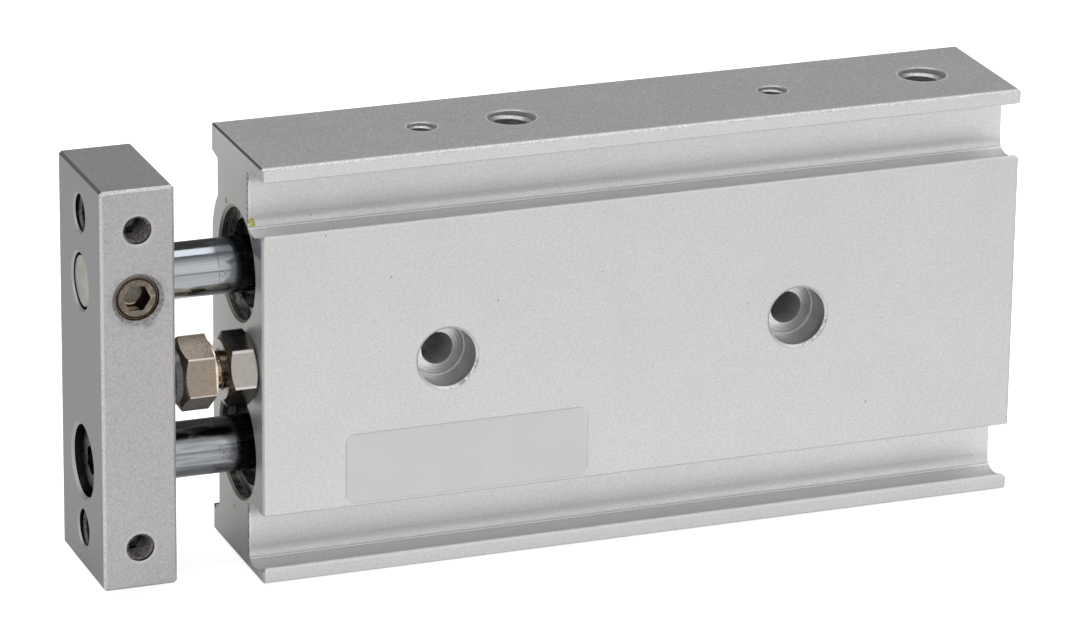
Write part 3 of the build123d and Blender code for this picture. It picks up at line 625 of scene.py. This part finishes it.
def bolt_finish():
    """Bumper bolt: darker at its front, with painted light on its upward facets, a bright washer face and
    a stained neck.
    """
    f = nickel("nickel_bolt", (0.36, 0.298, 0.246), (0.4, 0.332, 0.276), (0.24, 0.32))
    off = f.off_axis(f.y, f.z, STOP_AXIS)
    front_cut = f.both(hex_chamfer(f), f.ramp(f.x, BOLT_FRONT + 1.0, BOLT_FRONT + 0.9))
    f.paint(front_cut, (0.1, 0.075, 0.055), 0.3)
    front = f.both(f.away(f.facing_x), f.ramp(f.x, BOLT_FRONT + 0.1, BOLT_FRONT))
    f.paint(front, (0.16, 0.13, 0.11), 0.35)
    # Painted light: the upward facets are painted lighter.
    f.paint(f.facing(f.facing_z, 0.5), level=1.45)
    washer = f.both(f.band(f.x, BOLT_WASHER, 0.17, 0.03), f.ramp(off, BOLT_NECK, BOLT_NECK + 0.2))
    f.paint(washer, (0.95, 0.79, 0.6), 0.25)
    neck = f.ramp(f.x, NECK_FRONT - 0.02, NECK_FRONT + 0.04)
    neck = f.both(neck, f.ramp(off, BOLT_NECK, BOLT_NECK - 0.2))
    patches = f.ramp(f.noise(1.5, 3.0, shift=3.0), 0.35, 0.6)
    f.paint(neck, f.mix(patches, (0.07, 0.045, 0.025), (0.36, 0.3, 0.22)), 0.18)
    return f.done(f.noise(3.0, 3.0, shift=8.0), 0.006)


def nut_finish():
    """Lock nut: stained chamfers, a dark bore and a painted highlight on the corners towards the wide
    face.
    """
    f = nickel("nickel_nut", (0.375, 0.345, 0.318), (0.44, 0.41, 0.38), (0.16, 0.26))
    patches = f.ramp(f.noise(1.3, 3.0, shift=3.0), 0.4, 0.62)
    f.paint(hex_chamfer(f), f.mix(patches, (0.08, 0.05, 0.03), (0.3, 0.25, 0.2)), 0.2)
    off = f.off_axis(f.y, f.z, STOP_AXIS)
    f.paint(f.ramp(off, 2.35, 2.15), (0.06, 0.04, 0.025), 0.2)
    # A painted highlight on the corners towards the wide face.
    corner = f.both(f.ramp(off, HEX_CORNER - 0.16, HEX_CORNER - 0.08), f.away(f.facing_y))
    f.paint(corner, (0.75, 0.71, 0.67), 0.4, metal=0.5)
    return f.done(f.noise(3.0, 3.0, shift=2.0), 0.006)


def set_screw_finish():
    """Set screw: bronzed, with a painted gold highlight on its chamfer, a painted sheen on one side of its
    face, and a socket painted dark as shade, with painted light on its walls and a dished bottom.
    """
    f = nickel("bronzed_set_screw", (0.13, 0.108, 0.085), (0.27, 0.232, 0.19), (0.24, 0.36))
    off = f.off_axis(f.x, f.z, SCREW_AXIS)
    outward = f.away(f.facing_y)
    cut = f.both(f.ramp(off, SCREW_EDGE, SCREW_EDGE + 0.06), f.slanted(f.facing_y))
    f.paint(cut, (0.09, 0.065, 0.045), 0.35)
    # A painted highlight: the gold line along the chamfer.
    f.paint(f.both(cut, f.band(off, SCREW_EDGE + 0.22, 0.04, 0.05)), (0.62, 0.5, 0.36), metal=0.5)
    # A painted highlight on one side of the face.
    sheen = f.both(f.ramp(f.x, PLATE_MIDDLE + 0.8, PLATE_MIDDLE + 1.8), outward)
    f.paint(f.both(sheen, f.mottle), level=1.6)
    f.paint(f.ramp(off, SCREW_HOLE - 0.09, SCREW_HOLE - 0.05), (0.12, 0.08, 0.045), 0.4)
    f.paint(f.band(off, SCREW_EDGE, 0.03, 0.05), (0.06, 0.04, 0.03), 0.3)
    # Painted shade: the socket's bottom is painted near-black, but for its dished middle.
    floor = f.both(f.ramp(f.y, SCREW_FACE + 0.3, SCREW_FACE + 0.7), outward)
    f.paint(floor, (0.03, 0.02, 0.014), 0.3)
    dished = f.off_axis(f.x, f.z, (PLATE_MIDDLE - 0.3, UPPER_ROD + 0.3))
    dish = f.mix(f.mottle, (0.13, 0.118, 0.098), (0.22, 0.2, 0.168))
    f.paint(f.both(floor, f.ramp(dished, DISH, DISH - 0.12)), dish, 0.4, metal=0.5)
    # A painted highlight at the lower edge of the dished bottom.
    low = f.ramp(f.z, UPPER_ROD, UPPER_ROD - 0.3)
    low_front = f.both(low, f.ramp(f.x, PLATE_MIDDLE + 0.4, PLATE_MIDDLE - 0.1))
    crescent = f.both(floor, f.band(dished, DISH + 0.04, 0.06, 0.05), low_front)
    f.paint(crescent, (0.85, 0.7, 0.5), 0.4, metal=0.3)
    # The socket's walls are painted lit or shaded by the way they face.
    wall = f.both(f.ramp(off, SOCKET + 0.06, SOCKET), f.along(f.facing_y))
    wall_tone = f.mix(f.ramp(f.facing_x, 0.1, 0.6), (0.012, 0.008, 0.006), (0.38, 0.27, 0.13))
    f.paint(wall, wall_tone, 0.28)
    # A painted highlight on the lower wall.
    lit = f.both(
        wall,
        f.facing(f.facing_z, 0.6),
        f.ramp(f.y, SCREW_FACE + 0.45, SCREW_FACE + 0.6),
        f.ramp(f.x, PLATE_MIDDLE + 0.5, PLATE_MIDDLE),
    )
    f.paint(lit, (0.7, 0.57, 0.39), 0.4, metal=0.3)
    return f.done()


def plain_metal(name, dark, light, gloss, grain=3.0, marks=None):
    """Metal with a fine mottle, and with tool marks along one value where it was turned."""
    f = Finish(name, 1.0)
    pattern = f.noise(grain, 3.0)
    if marks is not None:
        pattern = f.plus(f.times(pattern, 0.4), f.times(f.lines(marks(f), 6.0), 0.6))
    pattern = f.ramp(pattern, 0.35, 0.65)
    f.tone = f.mix(pattern, dark, light)
    f.gloss = f.blend(pattern, gloss[0], gloss[1])
    return f.done(pattern, 0.004)


def off_rods(f):
    """Distance from the nearer rod's axis."""
    return f.off_axis(f.y, f.size(f.less(f.z, MIDDLE)), (0.0, UPPER_ROD - MIDDLE))


def soft_finish(name, dark, light, gloss):
    """Rubber or plastic with a faint mottle."""
    f = Finish(name, 0.0)
    pattern = f.ramp(f.noise(2.5, 3.0), 0.3, 0.7)
    f.tone = f.mix(pattern, dark, light)
    f.gloss = f.blend(pattern, gloss[0], gloss[1])
    return f.done(pattern, 0.006)


def label_finish():
    """Pale film, smoother than the metal round it, with a thin darker edge."""
    f = Finish("label_film", 0.0)
    pattern = f.plus(f.times(f.noise(0.25, 3.0), 0.6), f.times(f.noise(7.0, 2.0), 0.4))
    f.tone = f.mix(f.ramp(pattern, 0.3, 0.7), (0.655, 0.655, 0.645), (0.69, 0.69, 0.68))
    f.gloss = f.ramp(f.noise(2.0, 3.0), 0.3, 0.7, 0.38, 0.5)
    edges = []
    for value, middle, half in zip((f.x, f.z), LABEL_MIDDLE, LABEL_HALF):
        edges.append(f.ramp(f.size(f.less(value, middle)), half - 0.12, half - 0.04))
    f.paint(f.either(*edges), level=0.8)
    return f.done()


def finishes():
    """Gives every piece of the CAD its finish."""
    body_finish().on("housing")
    plate_finish().on("end_plate")
    chrome_finish().on("upper_rod", "lower_rod")
    bolt_finish().on("bumper_bolt")
    nut_finish().on("lock_nut")
    set_screw_finish().on("set_screw")
    label_finish().on("name_label")
    plated = plain_metal("plated_steel", (0.3, 0.3, 0.29), (0.42, 0.42, 0.4), (0.25, 0.38))
    plated.on("port_plugs", "upper_piston_nut", "lower_piston_nut")
    black = plain_metal("black_oxide", (0.035, 0.032, 0.028), (0.1, 0.09, 0.078), (0.24, 0.38), 1.8)
    black.on("rod_screw")
    grey = soft_finish("grey_urethane", (0.085, 0.088, 0.086), (0.12, 0.125, 0.123), (0.2, 0.3))
    grey.on("stop_bumper")
    spring = plain_metal("spring_steel", (0.08, 0.08, 0.08), (0.42, 0.42, 0.41), (0.22, 0.34), 0.8)
    # The turned aluminium inside the bores is painted dark, standing in for the shade deep in the bores.
    turned = plain_metal(
        "shaded_turned_aluminium", (0.05, 0.05, 0.05), (0.24, 0.24, 0.235), (0.26, 0.4), 1.0, off_rods
    )
    bronze = plain_metal("bronze", (0.36, 0.25, 0.12), (0.48, 0.34, 0.18), (0.28, 0.4))
    magnet = plain_metal("magnet", (0.1, 0.1, 0.105), (0.16, 0.16, 0.165), (0.4, 0.5))
    rubber = soft_finish("black_rubber", (0.012, 0.012, 0.012), (0.03, 0.03, 0.03), (0.4, 0.55))
    damper = soft_finish("amber_damper", (0.32, 0.17, 0.05), (0.4, 0.22, 0.07), (0.3, 0.45))
    resin = soft_finish("dark_resin", (0.05, 0.05, 0.05), (0.09, 0.09, 0.09), (0.4, 0.5))
    for side in ("upper_", "lower_"):
        turned.on(side + "rod_cover", side + "head_cover", side + "piston", side + "seal_retainer")
        spring.on(side + "front_snap_ring", side + "rear_snap_ring")
        rubber.on(side + "rod_cover_o_ring", side + "head_cover_o_ring")
        rubber.on(side + "rod_seal", side + "piston_seal")
        damper.on(side + "head_damper", side + "front_damper")
        bronze.on(side + "guide_bush")
        magnet.on(side + "piston_magnet")
        resin.on(side + "wear_ring")


# Threads: radii at the wall and the crest, the pitch, and where the ridge starts and ends below the mouth

THREAD_STEPS = 36  # to one turn
ROOT_HALF = 0.42  # of the pitch
CREST_HALF = 0.08  # of the pitch
PORT_THREAD = {"wall": 2.52, "crest": 2.1, "pitch": 0.8, "start": 0.14, "depth": 4.4}
SIDE_THREAD = {"wall": 1.52, "crest": 1.25, "pitch": 0.5, "start": 0.14, "depth": 4.2}
PLATE_THREAD = {"wall": 2.02, "crest": 1.66, "pitch": 0.7, "start": 0.22, "depth": 7.75}
PLATE_SIDE_THREAD = {"wall": 1.52, "crest": 1.25, "pitch": 0.5, "start": 0.14, "depth": 3.9}
BOLT_THREAD = {"wall": 1.9, "crest": 2.05, "pitch": 0.5, "start": 0.0, "depth": 0.9}
UP, DOWN = (0, 0, 1), (0, 0, -1)
FRONT, SIDE = (-1, 0, 0), (0, -1, 0)


def thread_ridge(bm, mouth, outward, begin, wall, crest, pitch, start, depth):
    """Ridge of a thread, from start to depth below the mouth, that begins on one side."""
    base, tip = pitch * ROOT_HALF, pitch * CREST_HALF
    first = len(bm.verts)
    shape = ((wall, -base), (crest, -tip), (crest, tip), (wall, base))
    corners = [bm.verts.new((radius * MM, 0, (start + base + along) * MM)) for radius, along in shape]
    edges = [bm.edges.new((corners[i - 1], corners[i])) for i in range(4)]
    turns = (depth - start - 2 * base) / pitch
    steps = int(THREAD_STEPS * turns)
    bmesh.ops.spin(
        bm, geom=corners + edges, cent=(0, 0, 0), axis=(0, 0, 1), angle=tau * turns, steps=steps,
        dvec=(0, 0, pitch * turns / steps * MM),
    )
    bm.verts.ensure_lookup_table()
    bmesh.ops.holes_fill(bm, edges=[edge for edge in bm.edges if edge.is_boundary], sides=4)
    inward = -Vector(outward)
    side = Vector(begin)
    turn = Matrix((side, inward.cross(side), inward)).transposed().to_4x4()
    bmesh.ops.transform(bm, verts=bm.verts[first:], matrix=Matrix.Translation(Vector(mouth) * MM) @ turn)


def piece(name, bm, body, material):
    """Adds a closed mesh that rides on a body of the frame."""
    bmesh.ops.recalc_face_normals(bm, faces=bm.faces)
    mesh = bpy.data.meshes.new(name)
    bm.to_mesh(mesh)
    bm.free()
    mesh.materials.append(material)
    made = bpy.data.objects.new(name, mesh)
    bpy.context.scene.collection.objects.link(made)
    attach(made, body)


def thread_piece(name, body, material, thread, begin, places):
    """Ridges of one thread, at places that are a mouth and a way out each."""
    bm = bmesh.new()
    for mouth, outward in places:
        thread_ridge(bm, mouth, outward, begin, **thread)
    piece(name, bm, body, material)


def threads():
    """Threads of the ports, the tapped holes and the bumper bolt's neck."""
    bright = thread_finish("bright_thread", (0.34, 0.34, 0.35), (0.46, 0.46, 0.475)).material
    # The plate holes' threads are painted dark, as the shade inside those holes.
    stained = thread_finish("shaded_thread", (0.09, 0.083, 0.08), (0.22, 0.207, 0.203)).material
    ports = [((x, 0, BODY_TOP), UP) for x in PORT_PLACES]
    thread_piece("port_threads", "housing", bright, PORT_THREAD, SIDE, ports)
    small = [((x, 0, z), outward) for z, outward in ((BODY_TOP, UP), (0, DOWN)) for x in FIXING_PLACES]
    thread_piece("side_hole_threads", "housing", bright, SIDE_THREAD, SIDE, small)
    through = [((PLATE_FRONT, 0, z), FRONT) for z in PLATE_HOLES]
    thread_piece("plate_hole_threads", "carriage", stained, PLATE_THREAD, SIDE, through)
    shallow = [((PLATE_MIDDLE, PLATE_SIDE, z), SIDE) for z in PLATE_HOLES]
    thread_piece("plate_side_threads", "carriage", stained, PLATE_SIDE_THREAD, FRONT, shallow)
    plated = nodes["bumper_bolt"].data.materials[0]
    neck = [((NECK_BACK, *STOP_AXIS), FRONT)]
    thread_piece("bumper_bolt_thread", "housing", plated, BOLT_THREAD, UP, neck)


DROP_RADIUS = 0.3
DROP_STRETCH = (1.15, 0.85, 1.0)
DROP_PLACE = (-46.45, -5.5, 21.75)


def locker_drop():
    """Drop of dried thread locker under the bolt's neck."""
    f = Finish("thread_locker", 0.0)
    f.tone = f.mix(f.ramp(f.noise(4.0, 2.0), 0.3, 0.7), (0.012, 0.005, 0.003), (0.04, 0.018, 0.01))
    f.gloss = f.ramp(f.noise(5.0, 2.0, shift=2.0), 0.3, 0.7, 0.05, 0.12)
    f.done()
    bm = bmesh.new()
    bmesh.ops.create_uvsphere(bm, u_segments=24, v_segments=14, radius=DROP_RADIUS * MM)
    bmesh.ops.scale(bm, verts=bm.verts, vec=DROP_STRETCH)
    bmesh.ops.translate(bm, verts=bm.verts, vec=Vector(DROP_PLACE) * MM)
    for face in bm.faces:
        face.smooth = True
    piece("thread_locker_drop", bm, "housing", f.material)


# Studio

class Setting(Tree):
    """Node tree of the room or the table, and what the camera and reflections see of it."""

    def __init__(self, tree, output):
        super().__init__(tree)
        tree.nodes.clear()
        self.out = self.node(output)
        self.path = self.node("ShaderNodeLightPath")

    def add(self, kind, **inputs):
        """Shader with its inputs wired."""
        made = self.node(kind)
        for key, value in inputs.items():
            self.wire(value, made.inputs[key])
        return made.outputs[0]

    def choose(self, share, first, second):
        """Shader that goes from the first to the second as share goes from 0 to 1."""
        made = self.node("ShaderNodeMixShader")
        for socket, source in zip(made.inputs, (share, first, second)):
            self.wire(source, socket)
        return made.outputs[0]

    def seen(self, reflected):
        """1 for what the camera sees, straight or through glass, and a share of it in reflections."""
        plain, through_glass = self.path.outputs["Is Camera Ray"], self.path.outputs["Is Transmission Ray"]
        shown = self.maths("MULTIPLY", self.path.outputs["Is Glossy Ray"], reflected)
        return self.maths("MAXIMUM", self.maths("MAXIMUM", plain, through_glass), shown)


WHITE = (1.0, 1.0, 1.0, 1.0)
ROOM_COLOUR = (1.0, 0.96, 0.88, 1.0)
ROOM_LEVEL = 0.14
FRONT_WALL = (-0.32, -0.05)
LEFT_WALL = (-0.5, -0.75)
WALL_RISE = (0.45, 0.95)
WALL_LEVEL = (1.02, 0.3)
LOW_WALL_RISE = (0.02, 0.5)
LOW_WALL_SHOWN = 0.6
STRIP_PLACE = (0.1, 0.0, 0.8)
STRIP_SIZE = (1.2, 0.42)
STRIP_POWER = 4.9
TABLE_COLOUR = (0.8, 0.8, 0.8, 1.0)
TABLE_HALF = 0.45
TABLE_GAP = 0.0002
TABLE_GLOW = 0.8
TABLE_SHOWN = 0.12


def studio():
    """Room with pale walls in front and on the left, dark elsewhere, and white to the camera."""
    world = bpy.data.worlds.new("studio")
    bpy.context.scene.world = world
    world.use_nodes = True
    s = Setting(world.node_tree, "ShaderNodeOutputWorld")
    across, away, rise = s.split(s.node("ShaderNodeTexCoord").outputs["Generated"])
    front = s.ramp(away, *FRONT_WALL, 1.0, 0.0)
    left = s.ramp(across, *LEFT_WALL)
    above = s.ramp(rise, -0.01, 0.0)
    pale = s.maths("MULTIPLY", s.maths("MAXIMUM", front, left), above)
    wall = s.ramp(rise, *WALL_RISE, *WALL_LEVEL)
    lit = s.add("ShaderNodeBackground", Color=WHITE, Strength=wall)
    dim = s.add("ShaderNodeBackground", Color=ROOM_COLOUR, Strength=ROOM_LEVEL)
    room = s.choose(pale, dim, lit)
    white = s.add("ShaderNodeBackground", Color=WHITE, Strength=1.0)
    low_wall = s.maths("MULTIPLY", pale, s.ramp(rise, *LOW_WALL_RISE, LOW_WALL_SHOWN, 0.0))
    s.wire(s.choose(s.seen(low_wall), room, white), s.out.inputs["Surface"])


def table():
    """Pale table under the part, white to the camera but for the part's own shadow."""
    bm = bmesh.new()
    bmesh.ops.create_grid(bm, x_segments=1, y_segments=1, size=TABLE_HALF)
    bmesh.ops.translate(bm, verts=bm.verts, vec=(0, 0, -TABLE_GAP))
    mesh = bpy.data.meshes.new("table")
    bm.to_mesh(mesh)
    bm.free()
    made = bpy.data.objects.new("table", mesh)
    bpy.context.scene.collection.objects.link(made)
    material = bpy.data.materials.new("pale_table")
    material.use_nodes = True
    s = Setting(material.node_tree, "ShaderNodeOutputMaterial")
    matt = s.add("ShaderNodeBsdfDiffuse", Color=TABLE_COLOUR)
    glow = s.add("ShaderNodeEmission", Strength=TABLE_GLOW)
    lit = s.node("ShaderNodeAddShader")
    s.wire(matt, lit.inputs[0])
    s.wire(glow, lit.inputs[1])
    s.wire(s.choose(s.seen(TABLE_SHOWN), matt, lit.outputs[0]), s.out.inputs["Surface"])
    mesh.materials.append(material)


def overhead_strip():
    """Long soft lamp straight above, along the rods."""
    data = bpy.data.lights.new("overhead_strip", "AREA")
    data.shape = "RECTANGLE"
    data.size, data.size_y = STRIP_SIZE
    data.energy = STRIP_POWER
    lamp = bpy.data.objects.new("overhead_strip", data)
    bpy.context.scene.collection.objects.link(lamp)
    lamp.location = STRIP_PLACE


PHOTO_WIDTH = 1080
FOCAL_PIXELS = 6037.6
SENSOR_WIDTH = 36.0
CAMERA_PLACE = (-0.227535, -0.568746, 0.241494)
CAMERA_RIGHT = (0.93493718, -0.35459189, 0.01253235)
CAMERA_UP = (0.10886278, 0.3202931, 0.94104263)
CAMERA_BACK = (-0.33770011, -0.87845143, 0.33805579)


def camera():
    """Camera fitted to the photo's corners of the housing and the plate."""
    data = bpy.data.cameras.new("camera")
    data.sensor_width = SENSOR_WIDTH
    data.lens = FOCAL_PIXELS * SENSOR_WIDTH / PHOTO_WIDTH
    data.clip_start, data.clip_end = 0.05, 10
    made = bpy.data.objects.new("camera", data)
    bpy.context.scene.collection.objects.link(made)
    turn = Matrix((CAMERA_RIGHT, CAMERA_UP, CAMERA_BACK)).transposed().to_4x4()
    made.matrix_world = Matrix.Translation(CAMERA_PLACE) @ turn
    bpy.context.scene.camera = made


finishes()
threads()
locker_drop()
studio()
table()
overhead_strip()
camera()
bpy.context.scene.view_settings.view_transform = "Standard"
